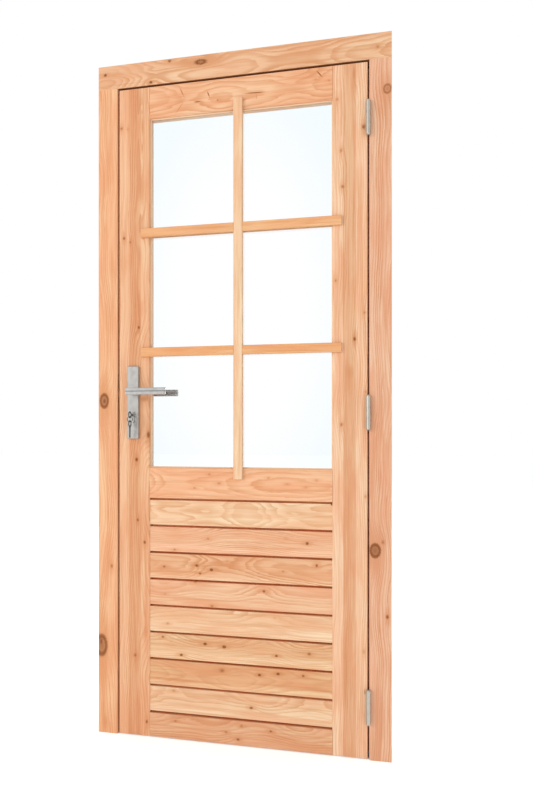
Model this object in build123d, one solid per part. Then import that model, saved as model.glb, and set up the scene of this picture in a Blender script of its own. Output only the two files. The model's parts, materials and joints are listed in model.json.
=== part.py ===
from build123d import *
import math
import os

# A glazed garden door of larch in its own frame, closed, with its lever set and a key in the lock.
# Millimetres. The outside faces -Y, +X points to the hinge side and +Z is up.
# The origin is on the hinge jamb's outer side face, at floor level, halfway through its depth.

# Frame
frame_width = 910
frame_height = 2105
frame_depth = 90
jamb_face = 64
head_face = 75
stop_width = 15
frame_tenon_height = 28
frame_tenon_width = 22
frame_tenon_depth = 45
frame_arris = 2

# Leaf and its running gaps
leaf_thickness = 40
leaf_setback = 2
side_gap = 5
head_gap = 6
floor_gap = 3
stop_gap = 5
stile_width = 102
top_rail_height = 97.5
mid_rail_height = 95.5
bottom_rail_height = 79.6
leaf_arris = 1.5

# Stub tenons of the rails and boards, in a groove along each stile
tenon_thickness = 14
tenon_length = 12
tenon_clearance = 0.3
tenon_shoulder = 8

# Stacked boards
board_count = 8
board_pitch = 82.8
board_setback = 2
joint_opening = 7
joint_depth = 12
ledge_fall = 1.5
joint_gap = 0.8
tongue_thickness = 9
tongue_height = 8
tongue_clearance = 0.4
back_bevel = 3

# Glazing
glass_thickness = 4
glass_lip = 9
glass_rebate = 10
glass_edge_gap = 2
glass_bedding = 0.3
glass_chamfer = 3
bead_width = 10
bead_chamfer = 7
bead_clearance = 0.2

# Bars planted on the leaf's face, with a core down to the glass, and bars on the glass inside
bar_width = 28
bar_proud = 8
bar_core_width = 20
bar_chamfer = 1.5
bar_overlap_rails = 34
bar_overlap_stiles = 28
bar_clearance = 0.2
inner_bar_width = 22
inner_bar_thickness = 8

# Hinges
hinge_top_inset = 165
hinge_bottom_inset = 152
flap_height = 89
flap_thickness = 2.5
flap_depth = 30
flap_corner = 9
mortise_clearance = 0.3
barrel_radius = 6.5
barrel_stand_off = 0.5
knuckle_count = 3
knuckle_gap = 0.3
knuckle_relief = 0.5
hinge_pin_radius = 4
hinge_pin_clearance = 0.05
cap_length = 7
cap_chamfer = 3

# Lock, plates and lever set
lock_backset = 48
lever_height = 1075
cylinder_drop = 72
plate_width = 38
plate_height = 226
plate_above_lever = 80
plate_thickness = 8
plate_corner = 3
plate_chamfer = 1.5
bush_radius = 11.5
bush_proud = 1.5
lever_neck_radius = 8
lever_bush_clearance = 0.1
lever_projection = 43
lever_length = 120
lever_heel = 9
lever_grip_height = 21
lever_grip_thickness = 10
lever_grip_chamfer = 1.5
lever_end_chamfer = 1
lever_groove_width = 2.6
lever_groove_depth = 1.5
spindle_side = 8
spindle_clearance = 0.1
spindle_grip = 20
spindle_end_gap = 1
spindle_bore_radius = 10
case_thickness = 14
case_depth = 68
case_above_lever = 45
case_below_lever = 115
case_clearance = 0.5
case_hole_radius = 6.3
faceplate_thickness = 3
faceplate_width = 20
faceplate_height = 235
faceplate_above_lever = 78
plate_seat_clearance = 0.15
latch_height = 24
latch_width = 12
bolt_height = 36
bolt_above_cylinder = 24
bolt_line = 0.6
strike_width = 26
strike_height = 180
strike_thickness = 3
strike_above_lever = 60
strike_hole_clearance = 3
strike_pocket_depth = 12

# Profile cylinder, plug, key and ring
cylinder_radius = 8.5
cylinder_total_height = 33
cylinder_web = 10
cylinder_proud = 2
cylinder_clearance = 0.3
plug_radius = 6.5
plug_clearance = 0.05
plug_proud = 0.5
plug_length = 30
keyway_clearance = 0.1
key_thickness = 2
key_stem_showing = 1
key_bow_radius = 10.8
key_hole_radius = 6.5
key_stem = 6
key_blade_length = 28
key_blade_height = 8
key_cut_depth = 2
key_cut_count = 5
key_cut_width = 3
ring_radius = 8.5
ring_wire_thickness = 1.4
ring_wire_width = 2
ring_clearance = 0.5

# Places worked out from the sizes above
y_front = -frame_depth / 2
y_back = frame_depth / 2
leaf_front = y_front + leaf_setback
leaf_back = leaf_front + leaf_thickness
leaf_middle = (leaf_front + leaf_back) / 2
stop_face = leaf_back + stop_gap
frame_left = -frame_width
jamb_top = frame_height - head_face
rebate_right = -jamb_face
rebate_left = frame_left + jamb_face
leaf_right = rebate_right - side_gap
leaf_left = rebate_left + side_gap
leaf_bottom = floor_gap
leaf_top = jamb_top - head_gap
opening_right = leaf_right - stile_width
opening_left = leaf_left + stile_width
opening_middle = (opening_left + opening_right) / 2
boards_bottom = leaf_bottom + bottom_rail_height
boards_top = boards_bottom + board_count * board_pitch
glass_bottom = boards_top + mid_rail_height
glass_top = leaf_top - top_rail_height
lip_back = leaf_front + glass_lip
glass_front = lip_back + glass_bedding
glass_back = glass_front + glass_thickness
bead_front = glass_back + glass_bedding
pane_height = (glass_top - glass_bottom - 2 * bar_width) / 3
bar_heights = {
    "upper": glass_top - pane_height - bar_width / 2,
    "lower": glass_bottom + pane_height + bar_width / 2,
}
hinge_x = (rebate_right + leaf_right) / 2
hinge_heights = {
    "top": leaf_top - hinge_top_inset,
    "middle": (leaf_top - hinge_top_inset + leaf_bottom + hinge_bottom_inset) / 2,
    "bottom": leaf_bottom + hinge_bottom_inset,
}
hinge_y = y_front - barrel_stand_off - barrel_radius
lock_x = leaf_left + lock_backset
cylinder_height = lever_height - cylinder_drop
bolts = [
    (lever_height, latch_height),
    (cylinder_height + bolt_above_cylinder, bolt_height),
]
plate_front = leaf_front - plate_thickness
plate_inside = leaf_back + plate_thickness


def block(x, y, z):
    """A box between a low and a high value on each axis."""
    spans = (x, y, z)
    size = [abs(span[1] - span[0]) for span in spans]
    middle = [(span[0] + span[1]) / 2 for span in spans]
    return Pos(*middle) * Box(*size)


def rod_along_y(x, z, radius, y_start, y_end):
    middle = (y_start + y_end) / 2
    return Pos(x, middle, z) * Rot(90, 0, 0) * Cylinder(radius, abs(y_end - y_start))


def rod_along_z(x, y, radius, z_start, z_end):
    middle = (z_start + z_end) / 2
    return Pos(x, y, middle) * Cylinder(radius, abs(z_end - z_start))


def bar_along_x(outline, x_start, x_end):
    """Extrudes a closed outline of (y, z) points along X."""
    face = Plane.YZ.offset(x_start) * make_face(Polyline(*outline, close=True))
    return extrude(face, amount=x_end - x_start)


def bar_along_z(outline, z_start, z_end):
    """Extrudes a closed outline of (x, y) points along Z."""
    face = Plane.XY.offset(z_start) * make_face(Polyline(*outline, close=True))
    return extrude(face, amount=z_end - z_start)


def slab_along_y(sketch, y_start, y_end):
    """Extrudes a sketch drawn in (x, z) from one depth to another."""
    return extrude(Plane.XZ.offset(-y_start) * sketch, amount=y_start - y_end)


def edges_near(shape, axis, places):
    """The edges along an axis whose middle has one of the given pairs of other coordinates."""
    chosen = []
    for edge in shape.edges().filter_by(axis):
        middle = edge.center()
        across = {Axis.X: (middle.Y, middle.Z), Axis.Z: (middle.X, middle.Y)}[axis]
        if any(math.dist(across, place) < 0.01 for place in places):
            chosen.append(edge)
    return chosen


def eased(shape, axis, places, size):
    """Takes the sharpness off the edges along an axis at the given places."""
    return chamfer(edges_near(shape, axis, places), size)


# Frame

def mirrored_x(points, outer_x, direction):
    """Places (distance from the outer side, y) points on a jamb that grows in the given direction."""
    return [(outer_x + direction * distance, y) for distance, y in points]


def jamb(outer_x, direction):
    section = [
        (0, y_front),
        (jamb_face, y_front),
        (jamb_face, stop_face),
        (jamb_face + stop_width, stop_face),
        (jamb_face + stop_width, y_back),
        (0, y_back),
    ]
    post = bar_along_z(mirrored_x(section, outer_x, direction), 0, jamb_top)
    corners = mirrored_x([section[1], section[3], section[4]], outer_x, direction)
    post = eased(post, Axis.Z, corners, frame_arris)
    return post + jamb_tenon(outer_x, direction, 0)


def jamb_tenon(outer_x, direction, clearance):
    """The tenon on a jamb's top, or its mortise in the head when it is grown by a clearance."""
    middle_x = outer_x + direction * jamb_face / 2
    half_width = frame_tenon_width / 2 + clearance
    half_depth = frame_tenon_depth / 2 + clearance
    return block(
        (middle_x - half_width, middle_x + half_width),
        (-half_depth, half_depth),
        (jamb_top, jamb_top + frame_tenon_height + clearance),
    )


def frame_head():
    beam = block((frame_left, 0), (y_front, y_back), (jamb_top, frame_height))
    beam = eased(beam, Axis.X, [(y_front, frame_height)], frame_arris)
    stop = block(
        (rebate_left + stop_width, rebate_right - stop_width),
        (stop_face, y_back),
        (jamb_top - stop_width, jamb_top),
    )
    corners = [(stop_face, jamb_top - stop_width), (y_back, jamb_top - stop_width)]
    stop = eased(stop, Axis.X, corners, frame_arris)
    mortises = jamb_tenon(0, -1, tenon_clearance) + jamb_tenon(frame_left, 1, tenon_clearance)
    return beam + stop - mortises


# Hinges

def flap(x_start, x_end, y_end, height, clearance):
    """A flap's outline from the pin's axis inward, with two round corners; grown, it is its mortise."""
    half = flap_height / 2 + clearance
    plate = block((x_start, x_end), (hinge_y, y_end + clearance), (height - half, height + half))
    corners = plate.edges().filter_by(Axis.X).sort_by(Axis.Y)[-2:]
    return fillet(corners, flap_corner)


def knuckle_spans(height):
    """The low and high end of each knuckle, from the bottom up."""
    length = flap_height / knuckle_count
    low = height - flap_height / 2
    spans = []
    for index in range(knuckle_count):
        start = low + index * length
        spans.append((start + knuckle_gap / 2, start + length - knuckle_gap / 2))
    return spans


def barrel_piece(radius, span):
    return rod_along_z(hinge_x, hinge_y, radius, *span)


def knuckle_notch(span):
    """The square notch in a flap round the other half's knuckle."""
    reach = barrel_radius + knuckle_relief
    return block(
        (hinge_x - reach, hinge_x + reach),
        (hinge_y - reach, hinge_y + reach),
        (span[0] - knuckle_gap, span[1] + knuckle_gap),
    )


def pin_cap(height, direction):
    """The rounded end of the hinge pin, above or below the barrel."""
    start = height + direction * (flap_height / 2 - knuckle_gap / 2)
    end = start + direction * cap_length
    cap = rod_along_z(hinge_x, hinge_y, barrel_radius, start, end)
    end_edges = [edge for edge in cap.edges() if abs(edge.center().Z - end) < 0.01]
    return chamfer(end_edges, cap_chamfer)


def hinge_frame_half(height):
    spans = knuckle_spans(height)
    half = flap(rebate_right, rebate_right + flap_thickness, y_front + flap_depth, height, 0)
    for span in spans[1::2]:
        half -= knuckle_notch(span)
    for span in spans[0::2]:
        half += barrel_piece(barrel_radius, span)
    half += barrel_piece(hinge_pin_radius, (spans[0][0], spans[-1][1]))
    half += pin_cap(height, 1)
    half += pin_cap(height, -1)
    return half


def hinge_leaf_half(height):
    spans = knuckle_spans(height)
    half = flap(leaf_right - flap_thickness, leaf_right, leaf_front + flap_depth, height, 0)
    for span in spans[0::2]:
        half -= knuckle_notch(span)
    for span in spans[1::2]:
        half += barrel_piece(barrel_radius, span)
    half -= barrel_piece(hinge_pin_radius + hinge_pin_clearance, (spans[0][0], spans[-1][1]))
    return half


def hinge_mortises(x_start, x_end, y_face):
    """The seats of all flaps in one upright."""
    seats = Part()
    for height in hinge_heights.values():
        seats += flap(x_start, x_end, y_face + flap_depth, height, mortise_clearance)
    return seats


# Leaf woodwork

def glazing_cut():
    """The window opening with its rebate behind and its chamfered front arris."""
    opening = block((opening_left, opening_right), (leaf_front, leaf_back), (glass_bottom, glass_top))
    rebate = block(
        (opening_left - glass_rebate, opening_right + glass_rebate),
        (lip_back, leaf_back),
        (glass_bottom - glass_rebate, glass_top + glass_rebate),
    )
    width = opening_right - opening_left
    height = glass_top - glass_bottom
    middle = (opening_middle, (glass_bottom + glass_top) / 2)
    inner = Plane.XZ.offset(-(leaf_front + glass_chamfer)) * Pos(*middle) * Rectangle(width, height)
    outer = Plane.XZ.offset(-leaf_front) * Pos(*middle) * Rectangle(
        width + 2 * glass_chamfer, height + 2 * glass_chamfer
    )
    return opening + rebate + loft([inner.face(), outer.face()])


def stub(x_start, x_end, z_low, z_high, clearance=0):
    """A stub tenon or, with a clearance, the groove that takes it."""
    half = tenon_thickness / 2 + clearance
    return block((x_start, x_end), (leaf_middle - half, leaf_middle + half), (z_low, z_high))


def top_tenon_span():
    return glass_top + glass_rebate + tenon_shoulder, leaf_top - 2 * tenon_shoulder


def mid_tenon_span():
    return boards_top + tongue_height + tenon_shoulder, glass_bottom - glass_rebate - tenon_shoulder


def stile(x_outer, x_inner):
    low, high = min(x_outer, x_inner), max(x_outer, x_inner)
    post = block((low, high), (leaf_front, leaf_back), (leaf_bottom, leaf_top))
    corners = [(x, y) for x in (low, high) for y in (leaf_front, leaf_back)]
    post = eased(post, Axis.Z, corners, leaf_arris)
    outward = math.copysign(1, x_outer - x_inner)
    groove_end = x_inner + outward * (tenon_length + tenon_clearance)
    grooves = [(leaf_bottom + tenon_shoulder, mid_tenon_span()[1]), top_tenon_span()]
    for low_z, high_z in grooves:
        ends = (low_z - tenon_clearance, high_z + tenon_clearance)
        post -= stub(x_inner, groove_end, *ends, tenon_clearance)
    return post - glazing_cut()


def cross_piece(outline, tenon_low, tenon_high):
    """A rail or board between the stiles, with a stub tenon at each end."""
    piece = bar_along_x(outline, opening_left, opening_right)
    return piece + stub(opening_left - tenon_length, opening_right + tenon_length, tenon_low, tenon_high)


def joint_top(z, y_face, y_rear):
    """The upper edge of a board, front to back: a falling ledge in a shadow gap, the tongue, a bevel."""
    shelf = z - joint_gap
    tongue_front = leaf_middle - tongue_thickness / 2
    tongue_rear = leaf_middle + tongue_thickness / 2
    return [
        (y_face, z - joint_opening),
        (y_face + joint_depth, z - joint_opening + ledge_fall),
        (y_face + joint_depth, shelf),
        (tongue_front, shelf),
        (tongue_front, z + tongue_height),
        (tongue_rear, z + tongue_height),
        (tongue_rear, shelf),
        (y_rear - back_bevel, shelf),
        (y_rear, shelf - back_bevel),
    ]


def joint_bottom(z, y_face, y_rear):
    """The lower edge of a board, back to front: the rear bevel and the groove for the tongue below."""
    slot_front = leaf_middle - tongue_thickness / 2 - tongue_clearance
    slot_rear = leaf_middle + tongue_thickness / 2 + tongue_clearance
    slot_top = z + tongue_height + joint_gap
    return [
        (y_rear, z + back_bevel),
        (y_rear - back_bevel, z),
        (slot_rear, z),
        (slot_rear, slot_top),
        (slot_front, slot_top),
        (slot_front, z),
        (y_face, z),
    ]


def board(index):
    """Board 0 lies under the middle rail, and the rest follow downward."""
    top = boards_top - index * board_pitch
    bottom = top - board_pitch
    y_face = leaf_front + board_setback
    y_rear = leaf_back - board_setback
    outline = joint_top(top, y_face, y_rear) + joint_bottom(bottom, y_face, y_rear)
    low = bottom + tongue_height + tenon_shoulder
    return cross_piece(outline, low, top - tenon_shoulder)


def bottom_rail():
    outline = joint_top(boards_bottom, leaf_front + board_setback, leaf_back - board_setback)
    outline[0] = (leaf_front, boards_bottom - joint_opening)
    outline[-1] = (leaf_back, boards_bottom - joint_gap - back_bevel)
    outline += [(leaf_back, leaf_bottom), (leaf_front, leaf_bottom)]
    return cross_piece(outline, leaf_bottom + 2 * tenon_shoulder, boards_bottom - tenon_shoulder)


def mid_rail():
    outline = [(leaf_front, glass_bottom), (leaf_back, glass_bottom)]
    outline += joint_bottom(boards_top, leaf_front, leaf_back)
    return cross_piece(outline, *mid_tenon_span()) - glazing_cut()


def top_rail():
    outline = [
        (leaf_front, glass_top),
        (leaf_back, glass_top),
        (leaf_back, leaf_top),
        (leaf_front, leaf_top),
    ]
    return cross_piece(outline, *top_tenon_span()) - glazing_cut()


# Glazing

def glass_pane():
    cover = glass_rebate - glass_edge_gap
    return block(
        (opening_left - cover, opening_right + cover),
        (glass_front, glass_back),
        (glass_bottom - cover, glass_top + cover),
    )


def bead_section(edge, inward):
    """A bead's outline across its length: from the rebate's wall towards the opening."""
    wall = edge - inward * (glass_rebate - bead_clearance)
    nose = edge + inward * (bead_width - glass_rebate)
    return [
        (wall, bead_front),
        (nose, bead_front),
        (nose, leaf_back - bead_chamfer),
        (nose - inward * bead_chamfer, leaf_back),
        (wall, leaf_back),
    ]


def beads():
    """Top and bottom beads run right across, and the side beads stand between them."""
    ends = (opening_left - glass_rebate + bead_clearance, opening_right + glass_rebate - bead_clearance)
    proud = bead_width - glass_rebate
    side_span = (glass_bottom + proud, glass_top - proud)
    pieces = {}
    for name, edge, inward in (("bottom", glass_bottom, 1), ("top", glass_top, -1)):
        outline = [(y, z) for z, y in bead_section(edge, inward)]
        pieces["bead_" + name] = bar_along_x(outline, *ends)
    for name, edge, inward in (("left", opening_left, 1), ("right", opening_right, -1)):
        pieces["bead_" + name] = bar_along_z(bead_section(edge, inward), *side_span)
    return pieces


def around(middle, width):
    return middle - width / 2, middle + width / 2


def bar(x_span, y_span, z_span, show_face):
    """A plain bar with the edges of its shown face chamfered."""
    piece = block(x_span, y_span, z_span)
    return chamfer(piece.faces().sort_by(show_face)[0].edges(), bar_chamfer)


def halved(upright, crosses, width, shown_half, hidden_half):
    """Halves an upright bar over the cross bars: it keeps its shown half where they meet."""
    x_room = around(opening_middle, width + 2 * bar_clearance)
    pieces = {}
    for name, cross in crosses.items():
        z_room = around(bar_heights[name], width + 2 * bar_clearance)
        pieces["bar_" + name] = cross - block(x_room, shown_half, z_room)
        upright -= block(x_room, hidden_half, z_room)
    pieces["bar_vertical"] = upright
    return pieces


def outer_bars():
    """The grid planted on the leaf's face. Each bar has a core that fills the depth down to the glass."""
    x_core = (opening_left + bar_clearance, opening_right - bar_clearance)
    z_core = (glass_bottom + bar_clearance, glass_top - bar_clearance)
    y_core = (leaf_front, glass_front - bar_clearance)
    y_cap = (leaf_front - bar_proud, leaf_front)
    upright = bar(
        around(opening_middle, bar_width),
        y_cap,
        (glass_bottom - bar_overlap_rails, glass_top + bar_overlap_rails),
        Axis.Y,
    )
    upright += block(around(opening_middle, bar_core_width), y_core, z_core)
    crosses = {}
    for name, height in bar_heights.items():
        x_cap = (opening_left - bar_overlap_stiles, opening_right + bar_overlap_stiles)
        cross = bar(x_cap, y_cap, around(height, bar_width), Axis.Y)
        crosses[name] = cross + block(x_core, y_core, around(height, bar_core_width))
    lap = leaf_front - bar_proud / 2
    return halved(upright, crosses, bar_width, (y_cap[0], lap), (lap, y_core[1]))


def inner_bars():
    """The same grid on the inner side of the glass, between the beads."""
    inset = bead_width - glass_rebate + bar_clearance
    x_span = (opening_left + inset, opening_right - inset)
    z_span = (glass_bottom + inset, glass_top - inset)
    y_near = glass_back + bar_clearance
    y_far = y_near + inner_bar_thickness
    upright = bar(around(opening_middle, inner_bar_width), (y_near, y_far), z_span, -Axis.Y)
    crosses = {
        name: bar(x_span, (y_near, y_far), around(height, inner_bar_width), -Axis.Y)
        for name, height in bar_heights.items()
    }
    lap = y_near + inner_bar_thickness / 2
    return halved(upright, crosses, inner_bar_width, (lap, y_far), (y_near, lap))


# Lock, plates and lever set

def cylinder_outline(clearance):
    """The profile of a lock cylinder in (x, z): a round above a narrow web with a round foot."""
    foot = cylinder_web / 2
    foot_height = cylinder_height - (cylinder_total_height - cylinder_radius - foot)
    body = Pos(lock_x, cylinder_height) * Circle(cylinder_radius + clearance)
    web_middle = (cylinder_height + foot_height) / 2
    body += Pos(lock_x, web_middle) * Rectangle(cylinder_web + 2 * clearance, cylinder_height - foot_height)
    body += Pos(lock_x, foot_height) * Circle(foot + clearance)
    return body


def lock_case():
    """The mortise lock: its case in the stile, its faceplate on the leaf's edge, bolts drawn back."""
    half_case = case_thickness / 2
    half_plate = faceplate_width / 2
    case = block(
        (leaf_left, leaf_left + case_depth),
        (leaf_middle - half_case, leaf_middle + half_case),
        (lever_height - case_below_lever, lever_height + case_above_lever),
    )
    case += faceplate(0)
    for height, tall in bolts:
        case -= bolt_outline(height, tall)
    case -= rod_along_y(lock_x, lever_height, case_hole_radius, leaf_front, leaf_back)
    return case - slab_along_y(cylinder_outline(cylinder_clearance), leaf_front, leaf_back)


def faceplate(clearance):
    half = faceplate_width / 2 + clearance
    top = lever_height + faceplate_above_lever
    return block(
        (leaf_left, leaf_left + faceplate_thickness + clearance),
        (leaf_middle - half, leaf_middle + half),
        (top - faceplate_height - clearance, top + clearance),
    )


def bolt_outline(height, tall):
    """A fine line round the end of a bolt that lies flush in the faceplate."""
    half_width = latch_width / 2
    outer = block(
        (leaf_left, leaf_left + bolt_line),
        (leaf_middle - half_width - bolt_line, leaf_middle + half_width + bolt_line),
        (height - tall / 2 - bolt_line, height + tall / 2 + bolt_line),
    )
    inner = block(
        (leaf_left, leaf_left + bolt_line),
        (leaf_middle - half_width, leaf_middle + half_width),
        (height - tall / 2, height + tall / 2),
    )
    return outer - inner


def lock_cuts():
    """What the lock stile loses to the lock: case mortise, faceplate seat, spindle bore, cylinder hole."""
    half_case = case_thickness / 2 + case_clearance
    mortise = block(
        (leaf_left, leaf_left + case_depth + case_clearance),
        (leaf_middle - half_case, leaf_middle + half_case),
        (
            lever_height - case_below_lever - case_clearance,
            lever_height + case_above_lever + case_clearance,
        ),
    )
    bore = rod_along_y(lock_x, lever_height, spindle_bore_radius, leaf_front, leaf_back)
    cylinder_hole = slab_along_y(cylinder_outline(case_clearance), leaf_front, leaf_back)
    return mortise + faceplate(plate_seat_clearance) + bore + cylinder_hole


def door_plate(face, direction):
    """A long plate on the leaf, with a raised bush for the lever's neck and the cylinder's hole."""
    top = lever_height + plate_above_lever
    middle = top - plate_height / 2
    sketch = Pos(lock_x, middle) * RectangleRounded(plate_width, plate_height, plate_corner)
    outer = face + direction * plate_thickness
    plate = slab_along_y(sketch, face, outer)
    show_face = plate.faces().sort_by(Axis.Y)[0 if direction < 0 else -1]
    plate = chamfer(show_face.edges(), plate_chamfer)
    bush_end = outer + direction * bush_proud
    plate += rod_along_y(lock_x, lever_height, bush_radius, face, bush_end)
    plate -= rod_along_y(lock_x, lever_height, lever_neck_radius + lever_bush_clearance, face, bush_end)
    return plate - slab_along_y(cylinder_outline(cylinder_clearance), face, outer)


def lever(face, direction):
    """A straight lever: a round neck and a flat square-cut grip with a fine groove along its middle."""
    grip_back = face + direction * (lever_projection - lever_grip_thickness)
    grip_front = face + direction * lever_projection
    heel = lock_x - lever_heel
    tip = lock_x + lever_length
    half = lever_grip_height / 2
    grip = block((heel, tip), (grip_back, grip_front), (lever_height - half, lever_height + half))
    grip = chamfer(grip.edges().filter_by(Axis.X), lever_grip_chamfer)
    grip = chamfer(grip.faces().sort_by(Axis.X)[-1].edges(), lever_end_chamfer)
    half_groove = lever_groove_width / 2
    grip -= block(
        (heel, tip),
        (grip_front - direction * lever_groove_depth, grip_front),
        (lever_height - half_groove, lever_height + half_groove),
    )
    neck = rod_along_y(lock_x, lever_height, lever_neck_radius, face, (grip_back + grip_front) / 2)
    socket = spindle_side / 2 + spindle_clearance
    deep = face + direction * spindle_grip
    hole = block(
        (lock_x - socket, lock_x + socket),
        (face, deep),
        (lever_height - socket, lever_height + socket),
    )
    return grip + neck - hole


def spindle():
    half = spindle_side / 2
    spindle_reach = spindle_grip - spindle_end_gap
    return block(
        (lock_x - half, lock_x + half),
        (leaf_front - spindle_reach, leaf_back + spindle_reach),
        (lever_height - half, lever_height + half),
    )


def strike_plate(clearance):
    """The plate let into the lock jamb's rebate face."""
    half = strike_width / 2 + clearance
    top = lever_height + strike_above_lever
    return block(
        (rebate_left - strike_thickness, rebate_left),
        (leaf_middle - half, leaf_middle + half),
        (top - strike_height - clearance, top + clearance),
    )


def strike_holes(x_depth):
    """The two windows for the latch and the bolt, cut as deep as asked."""
    half = latch_width / 2 + strike_hole_clearance
    holes = Part()
    for height, tall in bolts:
        room = tall / 2 + strike_hole_clearance
        holes += block(
            (rebate_left - x_depth, rebate_left),
            (leaf_middle - half, leaf_middle + half),
            (height - room, height + room),
        )
    return holes


# Cylinder, key and ring

cylinder_front = plate_front - cylinder_proud
plug_front = cylinder_front - plug_proud
bow_y = plug_front - key_stem_showing - key_stem - key_bow_radius
rim_middle = (key_bow_radius + key_hole_radius) / 2
rim_half = (key_bow_radius - key_hole_radius) / 2
ring_pivot_height = cylinder_height - rim_middle
ring_inner_radius = ring_radius - ring_wire_thickness / 2
ring_outer_radius = ring_radius + ring_wire_thickness / 2
ring_middle_height = ring_pivot_height + rim_half + ring_clearance - ring_inner_radius


def lock_cylinder():
    body = slab_along_y(cylinder_outline(0), cylinder_front, plate_inside + cylinder_proud)
    bore_end = cylinder_front + plug_length + plug_clearance
    bore_radius = plug_radius + plug_clearance
    return body - rod_along_y(lock_x, cylinder_height, bore_radius, cylinder_front, bore_end)


def cylinder_plug():
    plug = rod_along_y(lock_x, cylinder_height, plug_radius, plug_front, cylinder_front + plug_length)
    half_width = key_thickness / 2 + keyway_clearance
    half_height = key_blade_height / 2 + keyway_clearance
    keyway = block(
        (lock_x - half_width, lock_x + half_width),
        (plug_front, plug_front + key_blade_length),
        (cylinder_height - half_height, cylinder_height + half_height),
    )
    return plug - keyway


def flat_key(cut_edge):
    """A key in its own plane: the bow's centre at the origin and the blade along +X."""
    half = key_blade_height / 2
    root = math.sqrt(key_bow_radius ** 2 - half ** 2)
    shoulder = key_bow_radius + key_stem
    tip = shoulder + key_blade_length
    points = [(root, -half), (tip - half, -half), (tip, 0), (tip - half, half)]
    step = (tip - half - shoulder) / (key_cut_count + 1)
    for index in range(key_cut_count, 0, -1):
        middle = shoulder + index * step
        points += [
            (middle + key_cut_width / 2, half),
            (middle, half - key_cut_depth),
            (middle - key_cut_width / 2, half),
        ]
    points.append((root, half))
    if cut_edge < 0:
        points = [(x, -y) for x, y in points]
    outline = make_face(Polyline(*points, close=True)) + Circle(key_bow_radius)
    outline -= Circle(key_hole_radius)
    return extrude(outline, amount=key_thickness / 2, both=True)


def door_key():
    """The key in the lock: its flat stands upright and its blade points inward."""
    upright = Plane(origin=(lock_x, bow_y, cylinder_height), x_dir=(0, 1, 0), z_dir=(1, 0, 0))
    key = upright * flat_key(1)
    reach = plug_front + key_blade_length - keyway_clearance
    return key & block(
        (lock_x - key_thickness, lock_x + key_thickness),
        (bow_y - 2 * key_bow_radius, reach),
        (cylinder_height - 2 * key_bow_radius, cylinder_height + 2 * key_bow_radius),
    )


def key_ring():
    """A split ring's two flat turns, drawn as one, standing parallel to the door."""
    half = ring_wire_width / 2
    span = (bow_y - half, bow_y + half)
    outer = rod_along_y(lock_x, ring_middle_height, ring_outer_radius, *span)
    return outer - rod_along_y(lock_x, ring_middle_height, ring_inner_radius, *span)


def spare_key():
    """Hangs on the ring's lowest point, edge-on to the door, blade down."""
    bow_height = ring_middle_height - ring_inner_radius + ring_clearance - key_hole_radius
    hanging = Plane(origin=(lock_x, bow_y, bow_height), x_dir=(0, 0, -1), z_dir=(1, 0, 0))
    return hanging * flat_key(1)


# Assembly

def all_parts():
    hinge_flap_in_jamb = (rebate_right, rebate_right + flap_thickness)
    hinge_flap_in_leaf = (leaf_right - flap_thickness, leaf_right)
    strike_seat = strike_plate(plate_seat_clearance) + strike_holes(strike_pocket_depth)
    parts = {
        "head": frame_head(),
        "hinge_jamb": jamb(0, -1) - hinge_mortises(*hinge_flap_in_jamb, y_front),
        "lock_jamb": jamb(frame_left, 1) - strike_seat,
        "strike_plate": strike_plate(0) - strike_holes(strike_thickness),
        "lock_stile": stile(leaf_left, opening_left) - lock_cuts(),
        "hinge_stile": stile(leaf_right, opening_right) - hinge_mortises(*hinge_flap_in_leaf, leaf_front),
        "top_rail": top_rail(),
        "mid_rail": mid_rail(),
        "bottom_rail": bottom_rail(),
        "glass_pane": glass_pane(),
        "lock_case": lock_case(),
        "outer_plate": door_plate(leaf_front, -1),
        "inner_plate": door_plate(leaf_back, 1),
        "outer_lever": lever(leaf_front, -1),
        "inner_lever": lever(leaf_back, 1),
        "spindle": spindle(),
        "lock_cylinder": lock_cylinder(),
        "cylinder_plug": cylinder_plug(),
        "key": door_key(),
        "key_ring": key_ring(),
        "spare_key": spare_key(),
    }
    for index in range(board_count):
        parts["board_%d" % (index + 1)] = board(index)
    for name, height in hinge_heights.items():
        parts["hinge_%s_frame_half" % name] = hinge_frame_half(height)
        parts["hinge_%s_leaf_half" % name] = hinge_leaf_half(height)
    for name, piece in outer_bars().items():
        parts["outer_" + name] = piece
    for name, piece in inner_bars().items():
        parts["inner_" + name] = piece
    parts.update(beads())
    return parts


def main():
    os.makedirs("parts", exist_ok=True)
    for name, shape in all_parts().items():
        export_step(shape, "parts/%s.step" % name)


main()
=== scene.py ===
import json
import math

import bmesh
import bpy
from mathutils import Matrix, Vector


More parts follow.
